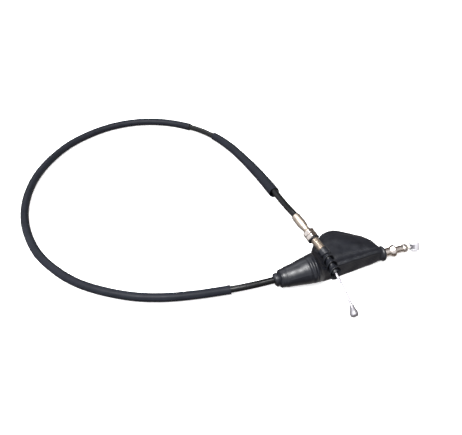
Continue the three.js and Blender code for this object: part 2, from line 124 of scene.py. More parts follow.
class Surface:
    """A Principled material whose colour, roughness and relief vary with the place on the object."""

    def __init__(self, name, **settings):
        self.material = bpy.data.materials.new(name)
        self.material.use_nodes = True
        self.nodes = self.material.node_tree.nodes
        self.links = self.material.node_tree.links
        self.shader = self.nodes["Principled BSDF"]
        for socket, value in settings.items():
            self.shader.inputs[socket.replace("_", " ")].default_value = value
        self.place = self.nodes.new("ShaderNodeTexCoord").outputs["Object"]
        self.relief = None

    def texture(self, kind, size_mm):
        """A texture node whose lumps are about that size, in millimetres."""
        mapping = self.nodes.new("ShaderNodeMapping")
        mapping.inputs["Scale"].default_value = [1 / (size_mm * MM)] * 3
        self.links.new(self.place, mapping.inputs["Vector"])
        node = self.nodes.new(kind)
        self.links.new(mapping.outputs["Vector"], node.inputs["Vector"])
        return node

    def noise(self, size_mm, detail=3):
        node = self.texture("ShaderNodeTexNoise", size_mm)
        node.inputs["Scale"].default_value = 1.0
        node.inputs["Detail"].default_value = detail
        return node.outputs["Fac"]

    def pits(self, size_mm):
        return self.texture("ShaderNodeTexVoronoi", size_mm).outputs["Distance"]

    def clouds(self, size_mm, detail, low, high):
        """Noise whose middle range, 0.3 to 0.7, is stretched to run from low to high."""
        node = self.nodes.new("ShaderNodeMapRange")
        node.inputs["From Min"].default_value = 0.3
        node.inputs["From Max"].default_value = 0.7
        node.inputs["To Min"].default_value = low
        node.inputs["To Max"].default_value = high
        self.links.new(self.noise(size_mm, detail), node.inputs["Value"])
        return node.outputs["Result"]

    def mixed(self, share, first, second):
        """A colour between two others, each a tuple or another node's output."""
        node = self.nodes.new("ShaderNodeMix")
        node.data_type = "RGBA"
        self.links.new(share, node.inputs[0])
        for socket, colour in ((node.inputs[6], first), (node.inputs[7], second)):
            if isinstance(colour, tuple):
                socket.default_value = (*colour, 1)
            else:
                self.links.new(colour, socket)
        return node.outputs[2]

    def colour(self, output):
        self.links.new(output, self.shader.inputs["Base Color"])

    def roughness(self, size_mm, detail, low, high):
        self.links.new(self.clouds(size_mm, detail, low, high), self.shader.inputs["Roughness"])

    def grain(self, size_mm, detail, depth_mm, strength):
        self.bump(self.noise(size_mm, detail), depth_mm, strength)

    def bump(self, height, depth_mm, strength):
        """Relief of about that depth, on top of any relief already there."""
        node = self.nodes.new("ShaderNodeBump")
        node.inputs["Distance"].default_value = depth_mm * MM
        node.inputs["Strength"].default_value = strength
        self.links.new(height, node.inputs["Height"])
        if self.relief is not None:
            self.links.new(self.relief, node.inputs["Normal"])
        self.relief = node.outputs["Normal"]
        self.links.new(self.relief, self.shader.inputs["Normal"])


def moulded_rubber(name, dark, light, rough, blotch_mm=9, shine=0.34):
    """Satin moulded rubber: slightly cloudy, with a faint bloom and a fine grain."""
    surface = Surface(name, IOR=1.5, Specular_IOR_Level=shine)
    clouds = surface.clouds(blotch_mm, 4, 0, 1)
    bloom = surface.clouds(2.2, 6, 0, 0.35)
    tone = surface.mixed(clouds, dark, light)
    surface.colour(surface.mixed(bloom, tone, tuple(1.4 * c for c in light)))
    surface.roughness(5, 5, rough - 0.07, rough + 0.09)
    surface.grain(0.55, 4, 0.035, 0.55)
    surface.grain(6, 2, 0.25, 0.35)
    return surface.material


def glossy_sheath():
    surface = Surface("sheath_black_gloss", IOR=1.5, Specular_IOR_Level=0.32)
    tone = surface.clouds(14, 3, 0, 1)
    surface.colour(surface.mixed(tone, (0.003, 0.0033, 0.0036), (0.006, 0.0063, 0.0075)))
    surface.roughness(4, 5, 0.16, 0.28)
    surface.grain(1.1, 3, 0.03, 0.4)
    surface.grain(11, 2, 0.2, 0.3)
    return surface.material


def plated_metal(name, bright, dull, rough, grain_mm=0.35):
    """Bright plating with a little tarnish and fine tool marks."""
    surface = Surface(name, Metallic=1)
    tarnish = surface.clouds(3.2, 5, 0, 0.7)
    surface.colour(surface.mixed(tarnish, bright, dull))
    surface.roughness(1.6, 6, rough - 0.06, rough + 0.1)
    surface.grain(grain_mm, 4, 0.012, 0.5)
    surface.grain(2.4, 2, 0.05, 0.3)
    return surface.material


def cast_metal(name, bright, dull, rough):
    """Die-cast zinc: greyer, with shallow pits."""
    surface = Surface(name, Metallic=1)
    surface.colour(surface.mixed(surface.clouds(1.8, 5, 0, 1), bright, dull))
    surface.roughness(1.1, 5, rough - 0.06, rough + 0.12)
    surface.bump(surface.pits(0.9), 0.05, 0.35)
    surface.grain(0.4, 4, 0.02, 0.6)
    return surface.material


def milky_nylon():
    surface = Surface(
        "nylon_milky",
        IOR=1.5,
        Subsurface_Weight=0.4,
        Subsurface_Radius=(1, 0.95, 0.9),
        Subsurface_Scale=0.0012,
    )
    surface.colour(surface.mixed(surface.noise(2.5, 3), (0.50, 0.495, 0.52), (0.60, 0.595, 0.62)))
    surface.roughness(1.2, 4, 0.28, 0.45)
    surface.grain(0.8, 3, 0.02, 0.5)
    return surface.material


def waxy_liner():
    surface = Surface("liner_waxy", IOR=1.5, Subsurface_Weight=0.2, Subsurface_Scale=0.001)
    surface.colour(surface.mixed(surface.noise(2, 3), (0.66, 0.62, 0.55), (0.80, 0.77, 0.70)))
    surface.roughness(1.5, 4, 0.35, 0.5)
    surface.grain(0.5, 3, 0.02, 0.5)
    return surface.material


BOOT_RUBBER = moulded_rubber(
    "rubber_boot", (0.0045, 0.0052, 0.0075), (0.0085, 0.0095, 0.0135), 0.35, shine=0.42
)
SMALL_RUBBER = moulded_rubber("rubber_small", (0.0065, 0.0075, 0.010), (0.0125, 0.0135, 0.018), 0.34, 4)
SLEEVE_RUBBER = moulded_rubber(
    "rubber_sleeve", (0.008, 0.009, 0.0125), (0.014, 0.0155, 0.021), 0.42, blotch_mm=16, shine=0.09
)
SHEATH = glossy_sheath()
PLATE = plated_metal("plate_warm", (0.80, 0.74, 0.70), (0.62, 0.54, 0.48), 0.22)
THREAD_PLATE = plated_metal("plate_thread", (0.50, 0.435, 0.37), (0.40, 0.335, 0.27), 0.38, 0.2)
STRAND = plated_metal("strand_steel", (0.60, 0.58, 0.62), (0.44, 0.42, 0.45), 0.34, 0.2)
ZINC = cast_metal("zinc_cast", (0.44, 0.43, 0.455), (0.33, 0.32, 0.345), 0.5)
NYLON = milky_nylon()
LINER = waxy_liner()

# ---- routes


class Route:
    """A smooth line through points: centripetal Catmull-Rom pieces held as cubic Beziers."""

    SAMPLES = 48

    def __init__(self, points):
        knots = np.array(points, float)
        before = 2 * knots[0] - knots[1]
        after = 2 * knots[-1] - knots[-2]
        ends = np.vstack([before, knots, after])
        steps = np.linalg.norm(np.diff(ends, axis=0), axis=1) ** 0.5
        p0, p1, p2, p3 = ends[:-3], ends[1:-2], ends[2:-1], ends[3:]
        d0, d1, d2 = (steps[i:len(steps) - 2 + i, None] for i in range(3))
        start = ((p1 - p0) / d0 - (p2 - p0) / (d0 + d1) + (p2 - p1) / d1) * d1
        finish = ((p2 - p1) / d1 - (p3 - p1) / (d1 + d2) + (p3 - p2) / d2) * d1
        self.knots = knots
        self.leaving = p1 + start / 3
        self.arriving = p2 - finish / 3
        self.parameters = np.linspace(0, len(knots) - 1, (len(knots) - 1) * self.SAMPLES + 1)
        self.line = self.evaluate(self.parameters)[0]
        steps = np.linalg.norm(np.diff(self.line, axis=0), axis=1)
        self.distances = np.append(0, np.cumsum(steps))
        self.length = self.distances[-1]

    def evaluate(self, parameters):
        i = np.minimum(parameters.astype(int), len(self.knots) - 2)
        t = (parameters - i)[:, None]
        a, d = self.knots[i], self.knots[i + 1]
        b, c = self.leaving[i], self.arriving[i]
        place = (1 - t) ** 3 * a + 3 * t * (1 - t) ** 2 * b + 3 * t ** 2 * (1 - t) * c + t ** 3 * d
        heading = (1 - t) ** 2 * (b - a) + 2 * t * (1 - t) * (c - b) + t ** 2 * (d - c)
        return place, units(heading)

    def at(self, distances):
        """Points and unit directions at distances along the line, which runs on straight past its ends."""
        wanted = np.asarray(distances, float)
        inside = np.clip(wanted, 0, self.length)
        place, heading = self.evaluate(np.interp(inside, self.distances, self.parameters))
        return place + (wanted - inside)[:, None] * heading, heading

    def nearest(self, point):
        return self.distances[np.linalg.norm(self.line - point, axis=1).argmin()]

    def frames(self, distances):
        """Points, and two directions square to the line, which don't twist about it."""
        place, heading = self.at(distances)
        sides = [unit(np.cross(heading[0], [0, 0, 1]))]
        for direction in heading[1:]:
            sides.append(unit(sides[-1] - (sides[-1] @ direction) * direction))
        sides = np.array(sides)
        return place, sides, np.cross(sides, heading)


# Places along the stem's axis, in millimetres from its point
STEM_ENDS = {"fitting_back": -42, "casing_end": -30, "wire_back": -12, "stem_front": 5}


def on_stem(distance_mm):
    return stem_point + stem_axis * distance_mm * MM


CASING_START = [28, 3, 7.2]
CASING_POINTS = [
    [20, 3, 7.2], [-30, 3, 7.2], [-70, 3, 7.2], [-84, 3, 7.2], [-98, 4.2, 6.1], [-115, 6.6, 4.6],
    [-141, 9.8, 4.3], [-166.5, 14.7, 4.3], [-191, 23, 4.3], [-215.5, 36.3, 4.3], [-238, 53.5, 4.3],
    [-254.5, 73, 4.3], [-268, 96, 4.3], [-275.5, 119.7, 4.3], [-278.8, 143, 4.3], [-278, 166.4, 4.3],
    [-273, 190, 4.3], [-263.3, 213.7, 4.3], [-247, 237.2, 4.3], [-222.5, 259.6, 4.3], [-184, 276.5, 4.3],
    [-147, 278.8, 4.3], [-112.4, 268.5, 4.3], [-82, 246.5, 4.6], [-65.5, 225, 5.4], [-54, 200, 7.2],
    [-46.5, 168.5, 11.2], [-41.6, 135, 16.8], [-38.8, 100.5, 23.4], [-37.3, 70, 29.3],
]
DROP_POINTS = [
    [-23.1, -3, 22.4], [-21.2, -16.1, 18], [-19.6, -28.5, 13.2], [-18.4, -40, 8.6], [-18.5, -45.2, 6.5],
    [-19, -51, 4.4],
]
casing_route = Route([
    *laid([CASING_START, *CASING_POINTS]),
    on_stem(STEM_ENDS["fitting_back"]),
    on_stem(STEM_ENDS["casing_end"]),
])
drop_route = Route([
    on_stem(STEM_ENDS["wire_back"]),
    on_stem(STEM_ENDS["wire_back"] / 2),
    stem_point,
    on_stem(STEM_ENDS["stem_front"]),
    *laid(DROP_POINTS),
])
STEM_POINT_ON_DROP = -STEM_ENDS["wire_back"] * MM

# ---- meshes


def dressed(obj, material, body, replaces=()):
    """Puts a finished object in the scene, gives it its look and joins it to its body."""
    bpy.context.scene.collection.objects.link(obj)
    obj.data.materials.append(material)
    if replaces:
        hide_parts(*replaces)
    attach(obj, body)
    return obj


def piece(name, vertices, faces, sharp_degrees=38):
    """A smooth-shaded mesh object with its faces turned outwards."""
    mesh = bpy.data.meshes.new(name)
    mesh.from_pydata([tuple(v) for v in vertices], [], [tuple(int(i) for i in f) for f in faces])
    work = bmesh.new()
    work.from_mesh(mesh)
    bmesh.ops.remove_doubles(work, verts=work.verts, dist=1e-7)
    bmesh.ops.recalc_face_normals(work, faces=work.faces)
    work.to_mesh(mesh)
    work.free()
    mesh.shade_smooth()
    mesh.set_sharp_from_angle(angle=math.radians(sharp_degrees))
    return bpy.data.objects.new(name, mesh)


def grid(rows, loop=False):
    """Vertices and faces of a skin over rings of points. It is capped, or its last ring joins its first."""
    rows = np.asarray(rows, float)
    count, around = rows.shape[:2]
    vertices = rows.reshape(-1, 3)
    faces = []
    for r in range(count if loop else count - 1):
        s = (r + 1) % count
        for i in range(around):
            j = (i + 1) % around
            faces.append((r * around + i, r * around + j, s * around + j, s * around + i))
    if not loop:
        faces.append(tuple(range(around)))
        faces.append(tuple(range((count - 1) * around, count * around)))
    return vertices, faces


def merged(*parts):
    """Several (vertices, faces) as one."""
    vertices = []
    faces = []
    for part_vertices, part_faces in parts:
        start = len(vertices)
        vertices.extend(part_vertices)
        faces.extend(tuple(start + i for i in face) for face in part_faces)
    return np.array(vertices), faces


def eased(profile, radius, steps=4):
    """A closed outline with its corners rounded, by at most that radius."""
    points = np.array(profile, float)
    result = []
    for i, corner in enumerate(points):
        before, after = points[i - 1] - corner, points[(i + 1) % len(points)] - corner
        reach = [min(radius, 0.45 * np.linalg.norm(v)) for v in (before, after)]
        start, finish = corner + unit(before) * reach[0], corner + unit(after) * reach[1]
        for t in np.linspace(0, 1, steps + 1):
            result.append((1 - t) ** 2 * start + 2 * t * (1 - t) * corner + t ** 2 * finish)
    return np.array(result)


def square_to(axis):
    """Two directions square to an axis. The first is level."""
    level = unit(np.cross(axis, [0, 0, 1]))
    return level, np.cross(level, axis)


def turned(profile, origin, axis, sides=64):
    """A turned piece. Its closed profile is [radius, place along the axis], in millimetres."""
    spokes = spread(angles_round(sides), *square_to(axis))
    return grid([origin + spokes * radius * MM + axis * along * MM for radius, along in profile], loop=True)


def tube_rows(route, distances, radius, sides, offset=None):
    """Rings round a route. The radius and the offset square to the route may vary along it."""
    place, side, up = route.frames(distances)
    if np.ndim(radius) < 2:
        radius = np.broadcast_to(radius, len(distances))[:, None]
    if offset is not None:
        place = place + offset
    spokes = spread(angles_round(sides), side[:, None], up[:, None])
    return place[:, None] + spokes * radius[..., None]


def smoothstep(start, finish, value):
    t = np.clip((value - start) / (finish - start), 0, 1)
    return t * t * (3 - 2 * t)


def bump(value, centre, width):
    return np.exp(-(((value - centre) / width) ** 2))


def drift(seed, points, wavelength, terms=7):
    """Smooth seeded variation of about -1 to 1 over points in space, from a few crossed waves."""
    random = np.random.default_rng(seed)
    directions = units(random.normal(size=(terms, 3)))
    scales = random.uniform(0.7, 1.6, terms)
    phases = random.uniform(0, TAU, terms)
    waves = np.sin(points @ directions.T * TAU / wavelength / scales + phases)
    return waves.sum(axis=-1) / math.sqrt(terms)


def walled(outer, inner, solid, closed_end=False, bulge=0):
    """A wall between two skins of matching rings, open where it isn't solid, with rounded rims.

    Solid says of each quad whether it is there. The bulge is how far the rims stand out of their openings.
    """
    count, around = outer.shape[:2]
    total = count * around
    vertices = [*outer.reshape(-1, 3), *inner.reshape(-1, 3)]
    index = np.arange(total).reshape(count, around)
    faces = []
    borders = {}
    for i, j in zip(*np.nonzero(solid)):
        k = (j + 1) % around
        quad = [index[i, j], index[i, k], index[i + 1, k], index[i + 1, j]]
        faces.append(quad)
        faces.append([total + v for v in reversed(quad)])
        for start, finish in zip(quad, quad[1:] + quad[:1]):
            if borders.pop((finish, start), None) is None:
                # Which way the opening lies: away from the quad's own middle
                borders[start, finish] = (vertices[start] + vertices[finish]) / 2 - outer[
                    [i, i, i + 1, i + 1], [j, k, k, j]
                ].mean(axis=0)
    push = {}
    for edge, away in borders.items():
        for v in edge:
            push[v] = push.get(v, 0) + unit(away)
    rim = {}
    for v, away in push.items():
        rim[v] = len(vertices)
        out, back = vertices[v], vertices[total + v]
        for share in (0.2, 0.5, 0.8):
            stands = bulge * math.sin(math.pi * share) * unit(away)
            vertices.append(out * (1 - share) + back * share + stands)
    for start, finish in borders:
        if closed_end and min(start, finish) >= total - around:
            continue
        middle = [(rim[start] + n, rim[finish] + n) for n in range(3)]
        strip = [(start, finish), *middle, (total + start, total + finish)]
        for (a, b), (c, d) in zip(strip[:-1], strip[1:]):
            faces.append([b, a, c, d])
    return np.array(vertices), faces


# ---- casing

SHEATH_RADIUS = 3.1
LINER_BORE = 1.45
LINER_RADIUS = 1.85
LINER_TIP = 62.9
LONG_SLEEVE_BORE = 3.35
LONG_SLEEVE_ENDS = [-110, 6.2, 5], [-86, 250, 4.5]
SHORT_SLEEVE_WALL = 0.62
SHORT_SLEEVE_ENDS = [-64.6, 223.5, 5.5], [-38.4, 93.6, 24.6]


def casing_sheath():
    data = bpy.data.curves.new("casing_sheath", "CURVE")
    data.dimensions = "3D"
    data.resolution_u = 14
    data.bevel_depth = SHEATH_RADIUS * MM
    data.bevel_resolution = 7
    data.use_fill_caps = True
    spline = data.splines.new("BEZIER")
    spline.bezier_points.add(len(casing_route.knots) - 1)
    for i, (point, knot) in enumerate(zip(spline.bezier_points, casing_route.knots)):
        point.co = knot
        point.handle_left_type = point.handle_right_type = "FREE"
        point.handle_left = casing_route.arriving[i - 1] if i > 0 else knot
        point.handle_right = casing_route.leaving[i] if i < len(casing_route.leaving) else knot
    return bpy.data.objects.new("casing_sheath", data)


def open_tube(name, distances, outside, inside, sides, offset=None):
    """A tube over part of the casing's route, with its radii in millimetres."""
    def skin(radii):
        return tube_rows(casing_route, distances, np.asarray(radii) * MM, sides, offset)

    return piece(name, *grid([*skin(outside), *skin(inside)[::-1]], loop=True))


def liner_tube():
    """The liner, from its tip beyond the ferrule to its end inside the threaded fitting."""
    tip = (LINER_TIP - CASING_START[0]) * MM
    distances = np.concatenate([[-tip, -tip + 0.0003], np.arange(-tip + 0.002, casing_route.length, 0.005)])
    inset = np.where(distances < -tip + 0.0001, 0.12, 0)
    return open_tube("liner_tube", distances, LINER_RADIUS - inset, LINER_BORE + inset, 20)


def long_sleeve():
    """A close rubber tube over the far half of the loop, a little wrinkled where it bends."""
    start, finish = (casing_route.nearest(laid(end)) for end in LONG_SLEEVE_ENDS)
    distances = np.arange(start, finish, 0.0012)
    sides = 28
    base = tube_rows(casing_route, distances, 0.00405, sides)
    wrinkle = np.sin(distances[:, None] * TAU / 0.0046 + 2.2 * np.sin(distances[:, None] * TAU / 0.071))
    worn = np.clip(drift(3, base, 0.045), 0, 1) * (0.5 - 0.5 * np.cos(angles_round(sides) - 0.6))
    radius = 4.0 + 0.05 * drift(4, base, 0.03) + 0.07 * wrinkle * worn
    ends = np.minimum(distances - start, finish - distances)[:, None]
    radius = radius - 0.2 * (1 - smoothstep(0, 0.0006, ends)) + 0.1 * bump(ends, 0.0018, 0.0016)
    return open_tube("long_sleeve_tube", distances, radius, LONG_SLEEVE_BORE, sides)


def short_sleeve():
    """A loose tube, tight at its far end and flared at the other, where the casing hangs against it."""
    start, finish = (casing_route.nearest(laid(end)) for end in SHORT_SLEEVE_ENDS)
    distances = np.concatenate([
        [start, start + 0.0002],
        np.arange(start + 0.0008, finish - 0.0012, 0.0011),
        [finish - 0.0008, finish - 0.0003, finish],
    ])
    share = (distances - start) / (finish - start)
    sides = 40
    base = tube_rows(casing_route, distances, 0.005, sides)
    radius = 4.25 + 0.35 * smoothstep(0, 0.2, share) + 0.8 * smoothstep(0.2, 1, share)
    ends = np.minimum(distances - start, finish - distances)
    square = 0.16 * (1 - smoothstep(0, 0.0006, ends))
    ripple = 0.05 * drift(8, base, 0.022) + 0.03 * drift(9, base, 0.009)
    # The tight end stands a little high on the casing, and the open mouth hangs down from it
    offset = np.zeros((len(distances), 3))
    offset[:, 2] = np.interp(share, [0, 0.12, 0.45, 1], [0.45, 0.2, -0.3, -1.5]) * MM
    outside = (radius - square)[:, None] + ripple
    inside = (radius - SHORT_SLEEVE_WALL + 0.5 * square)[:, None] + 0.5 * ripple
    return open_tube("short_sleeve_tube", distances, outside, inside, sides, offset)


sheath = dressed(casing_sheath(), SHEATH, "casing", ["conduit"])
liner = dressed(liner_tube(), LINER, "casing", ["liner"])
long_tube = dressed(long_sleeve(), SLEEVE_RUBBER, "casing", ["long_sleeve"])
short_tube = dressed(short_sleeve(), SLEEVE_RUBBER, "casing", ["short_sleeve"])
for hidden_node in ("spiral_armour", "inner_wire"):
    hidden = frame["nodes"][hidden_node]
    hidden.data.materials.clear()
    hidden.data.materials.append(STRAND)

# ---- stranded wire

WIRE_RADIUS = 1.1


def stranded(name, route, start, finish, strands=12, lay_mm=15):
    """Wires laid round a core, between two distances along a route."""
    wire = math.sin(math.pi / strands) * WIRE_RADIUS / (1 + math.sin(math.pi / strands))
    distances = np.arange(start, finish + 0.0004, 0.0007)
    place, side, up = route.frames(distances)
    parts = [grid(tube_rows(route, distances, (WIRE_RADIUS - wire) * MM, 12))]
    ring = angles_round(7)
    for k in range(strands):
        angle = (distances / (lay_mm * MM) + k / strands) * TAU
        out = spread(angle, side, up)
        middle = place + out * (WIRE_RADIUS - wire) * MM
        across = np.cross(units(np.gradient(middle, axis=0)), out)
        parts.append(grid(middle[:, None] + wire * MM * spread(ring, out[:, None], across[:, None])))
    return piece(name, *merged(*parts), sharp_degrees=60)


# ---- lever end

SHEATH_BORE = 3.5


def lever_ferrule():
    back, nose = span("lever_ferrule", layout_corner, lever_axis)
    flange = nose - 12.7
    origin = np.array([layout_corner[0], *lever_point[1:]])
    profile = [
        [SHEATH_BORE, back], [4, back], [4.05, back + 1], [4.05, flange - 5], [4.25, flange - 4.3],
        [5.35, flange - 2.0], [5.65, flange - 1.3], [5.65, flange - 0.35], [5.3, flange], [3.45, flange],
        [3.3, flange + 0.3], [3.3, nose - 4.1], [3.5, nose - 3.7], [3.85, nose - 3.2], [3.85, nose - 1.2],
        [3.6, nose - 0.5], [3.2, nose], [2.2, nose], [2.2, 29], [SHEATH_BORE, 28.4],
    ]
    return piece("lever_ferrule_turned", *turned(eased(profile, 0.35), origin, lever_axis, 72))


def barrel_nipple():
    half = span("barrel_nipple", barrel_centre, barrel_axis)[1]
    profile = [
        [0, -half + 0.25], [0.9, -half + 0.25], [1.1, -half], [2.7, -half], [3.1, -half + 0.4],
        [3.1, half - 0.4], [2.7, half], [1.1, half], [0.9, half - 0.25], [0, half - 0.25],
    ]
    return turned(eased(profile, 0.25, 3), barrel_centre, barrel_axis, 48)


def solder_bead():
    """The peened and soldered end of the wire, proud of the barrel's far side."""
    start = barrel_centre + lever_axis * 2.85 * MM
    profile = [[0, -0.4], [1.5, -0.4], [1.5, 0.1], [1.1, 0.38], [0, 0.45]]
    return turned(eased(profile, 0.2, 3), start, lever_axis, 24)


# The window in the bush's wall, where the wire comes in: its half height, and how far it reaches
# either way round from the wire, away from and towards the front
WINDOW_HALF_HEIGHT = 2.1
WINDOW_REACH = math.radians(28), math.radians(66)
SLIT_REACH = math.radians(17)


def nylon_bush():
    """A cup over the barrel, closed and domed at its top, with a window for the wire and a slit below it."""
    bottom, top = span("nylon_bush", barrel_centre, barrel_axis)
    outer_profile = [
        [4, bottom], [4.3, bottom + 0.15], [4.45, bottom + 0.5],
        *[[4.5, z] for z in np.arange(-2.9, 2.71, 0.4)],
        [4.42, top - 2.1], [4.25, top - 1.4], [3.9, top - 0.8], [3.3, top - 0.35], [2.4, top - 0.08],
        [1.2, top], [0, top],
    ]
    inner_profile = [
        [3.45, bottom], [3.42, bottom + 0.15], [3.4, bottom + 0.5],
        *[[3.4, z] for z in np.arange(-2.9, 2.71, 0.4)],
        [3.4, top - 2.1], [3.4, top - 1.6], [3.3, top - 1.25], [3, top - 1.05], [2.2, top - 1],
        [1.1, top - 1], [0, top - 1],
    ]
    sides = 72
    first, second = square_to(barrel_axis)
    wire_side = first if first[0] < 0 else -first
    front = second if second[1] < 0 else -second
    angles = angles_round(sides)
    spokes = spread(angles, wire_side, front) * MM

    def skin(profile):
        profile = np.array(profile)[:, :, None, None]
        return barrel_centre + spokes * profile[:, 0] + barrel_axis * profile[:, 1] * MM

    places = np.array([along for _, along in outer_profile])
    middles = (places[:-1] + places[1:]) / 2
    turn = ((angles + math.pi / sides + math.pi) % TAU) - math.pi
    window = (turn > -WINDOW_REACH[0]) & (turn < WINDOW_REACH[1])
    slit = np.abs(turn) < SLIT_REACH
    level = (np.abs(middles) < WINDOW_HALF_HEIGHT)[:, None]
    below = (middles <= -WINDOW_HALF_HEIGHT)[:, None]
    solid = ~((level & window[None]) | (below & slit[None]))
    shape = walled(skin(outer_profile), skin(inner_profile), solid, closed_end=True, bulge=0.12 * MM)
    return piece("nylon_bush_moulded", *shape, sharp_degrees=50)


lever_route = Route([lever_point + lever_axis * x * MM for x in (0, 40, 80)])
lever_wire_back = span("lever_wire", np.zeros(3), lever_axis)[0] * MM
dressed(lever_ferrule(), PLATE, "casing", ["lever_ferrule"])
dressed(
    stranded("lever_strand", lever_route, lever_wire_back, barrel_centre[0] + 0.0025),
    STRAND, "lever_wire_end", ["lever_wire"],
)
dressed(
    piece("barrel_nipple_cast", *merged(barrel_nipple(), solder_bead())),
    ZINC, "lever_wire_end", ["barrel_nipple"],
)
dressed(nylon_bush(), NYLON, "bush", ["nylon_bush"])

# ---- engine end

STEM_RADIUS = 3.6
STEM_BORE = 2.6
THREAD_PITCH = 0.75
THREAD_DEPTH = 0.26


def crimp_barrel():
    """The swaged barrel of the engine fitting, which grips the casing and narrows to the thread."""
    back, _ = span("threaded_fitting", stem_point, stem_axis)
    profile = [
        [SHEATH_BORE, back + 0.9], [3.8, back + 0.9], [3.98, back + 1.5], [4.15, back + 4.5],
        [4.28, back + 8], [4.24, back + 11], [4.05, back + 13], [3.68, back + 14.8], [3.25, back + 16.4],
        [3.05, back + 17.8], [3.05, back + 18.6], [STEM_BORE, back + 18.6], [STEM_BORE, back + 13],
        [SHEATH_BORE, back + 12.3],
    ]
    return turned(eased(profile, 0.6, 5), stem_point, stem_axis, 72)


def stem_ring(radii, along, sides):
    """A ring round the stem's axis, with one radius or a radius for each of its points, in millimetres."""
    spokes = spread(angles_round(sides), *square_to(stem_axis))
    return on_stem(along) + spokes * np.broadcast_to(radii, sides)[:, None] * MM


def threaded_stem():
    """The stem and its rolled thread, whose crest climbs by one pitch a turn and fades out at both ends."""
    back, front = span("threaded_fitting", stem_point, stem_axis)
    start = back + 18.4
    sides = 48
    rows = []
    for along in np.arange(start, front, THREAD_PITCH / 8):
        taper = max(0, min(1, (front - along) / 0.9, (along - start) / 0.5))
        turn = (along / THREAD_PITCH - angles_round(sides) / TAU) % 1
        crest = np.clip(1.35 - 3.1 * np.abs(turn - 0.5), 0, 1)
        rows.append(stem_ring(STEM_RADIUS - THREAD_DEPTH + THREAD_DEPTH * taper * crest, along, sides))
    for radius, along in ((STEM_BORE + 0.2, front), (STEM_BORE, front - 0.3), (STEM_BORE, start)):
        rows.append(stem_ring(radius, along, sides))
    return grid(rows, loop=True)


# The nuts' half width across flats, and how far their corners are turned from level
NUT_FLAT = 5.1
NUT_TURN = math.radians(40)


def hex_nut(name):
    """A thin nut: flats, softened corners, chamfered faces and a chamfered bore."""
    back, front = span(name, stem_point, stem_axis)
    corner = NUT_FLAT / math.cos(math.pi / 6) - 0.2
    sides = 144
    turn = (angles_round(sides) - NUT_TURN + math.pi / 6) % (math.pi / 3) - math.pi / 6
    hexagon = np.minimum(NUT_FLAT / np.cos(turn), corner)
    rows = []
    for along in np.concatenate([np.linspace(back, back + 0.9, 8), np.linspace(front - 0.9, front, 8)]):
        depth = min(along - back, front - along)
        rows.append(stem_ring(np.minimum(hexagon, NUT_FLAT - 0.15 + 1.7 * depth), along, sides))
    bore = STEM_RADIUS + 0.08
    for radius, along in ((bore + 0.5, front), (bore, front - 0.5), (bore, back + 0.5), (bore + 0.5, back)):
        rows.append(stem_ring(radius, along, sides))
    return piece(name + "_hex", *grid(rows, loop=True), sharp_degrees=24)


def washer():
    """A thin rubber washer with a rounded rim and a shallow groove in each face."""
    back, front = span("rubber_washer", stem_point, stem_axis)
    middle = (back + front) / 2
    profile = [
        [3.9, back], [4.2, back], [4.4, back + 0.15], [4.7, back + 0.15], [4.9, back], [5.3, back],
        [5.52, middle], [5.3, front], [4.9, front], [4.7, front - 0.15], [4.4, front - 0.15],
        [4.2, front], [3.9, front],
    ]
    return piece("washer_rubber", *turned(eased(profile, 0.2), stem_point, stem_axis, 64))


def along_drop(profile, sides, ripple=0, seed=0, leans=None):
    """A turned piece bent along the drooping wire. The profile's places are from the stem's point.

    Where it leans, the top of a ring is further back than its bottom, by that share of its height.
    """
    profile = np.array(profile, float)
    leaning = np.zeros(len(profile)) if leans is None else np.array(leans)
    distances = profile[:, 1] * MM + STEM_POINT_ON_DROP
    order = np.argsort(distances)
    inverse = np.argsort(order)
    place, side, up = (found[inverse] for found in drop_route.frames(distances[order]))
    ahead = np.cross(up, side)
    angles = angles_round(sides)
    spokes = spread(angles, side[:, None], up[:, None])
    spokes = spokes - (leaning[:, None] * np.sin(angles))[..., None] * ahead[:, None]
    radii = np.repeat(profile[:, :1], sides, axis=1)
    if ripple:
        radii = radii + ripple * drift(seed, place[:, None] + spokes * radii[..., None] * MM, 0.008)
    return grid(place[:, None] + spokes * radii[..., None] * MM, loop=True)


CUP_RADII = (5.5, 5.75, 5.98)
CUP_RIMS = (12, 18.2, 24.4)
CUP_LEAN = 0.6


def bellows():
    """A collar on the stem, then three thin flared cups, each one growing out of the one behind it."""
    outside = [[4, 0], [4.7, 0], [5, 0.35], [5, 1.6], [4.75, 2], [4.8, 4.4], [5, 5]]
    outside += [[4.7, 6.1]]
    inside = [[3.85, 0.3], [3.85, 4.1], [2.6, 4.8]]
    throat = [[3.6, 6.6], [3.3, 7.1]]
    for radius, rim in zip(CUP_RADII, CUP_RIMS):
        outside += throat
        outside += [[3.6, rim - 4.3], [4.3, rim - 3.0], [radius - 0.5, rim - 1.0], [radius - 0.1, rim - 0.35]]
        outside += [[radius, rim], [radius - 0.2, rim + 0.3], [radius - 0.55, rim + 0.2]]
        outside += [[radius - 1.0, rim - 1.0], [radius - 1.7, rim - 2.4], [3.1, rim - 3.6]]
        throat = [[2.9, rim - 3.7], [2.9, rim - 1.4]]
    # A short tube in the last cup, wide enough for the bent wire to be drawn in through it
    outside += [[3.4, rim - 3.45], [3.45, rim - 1], [3.45, rim + 0.1], [3.38, rim + 0.35], [3.28, rim + 0.2]]
    inside += [[2.5, 7.5], [2.6, 14.5], [2.68, 16.8], [3, rim - 3.6]]
    profile = eased([*inside, *outside[::-1]], 0.3, 2)
    leans = CUP_LEAN * smoothstep(7, 12, profile[:, 1]) * smoothstep(2.4, 5, profile[:, 0])
    return piece("bellows_rubber", *along_drop(profile, 64, 0.06, 21, leans), sharp_degrees=50)


PEAR_LENGTH = 9.8


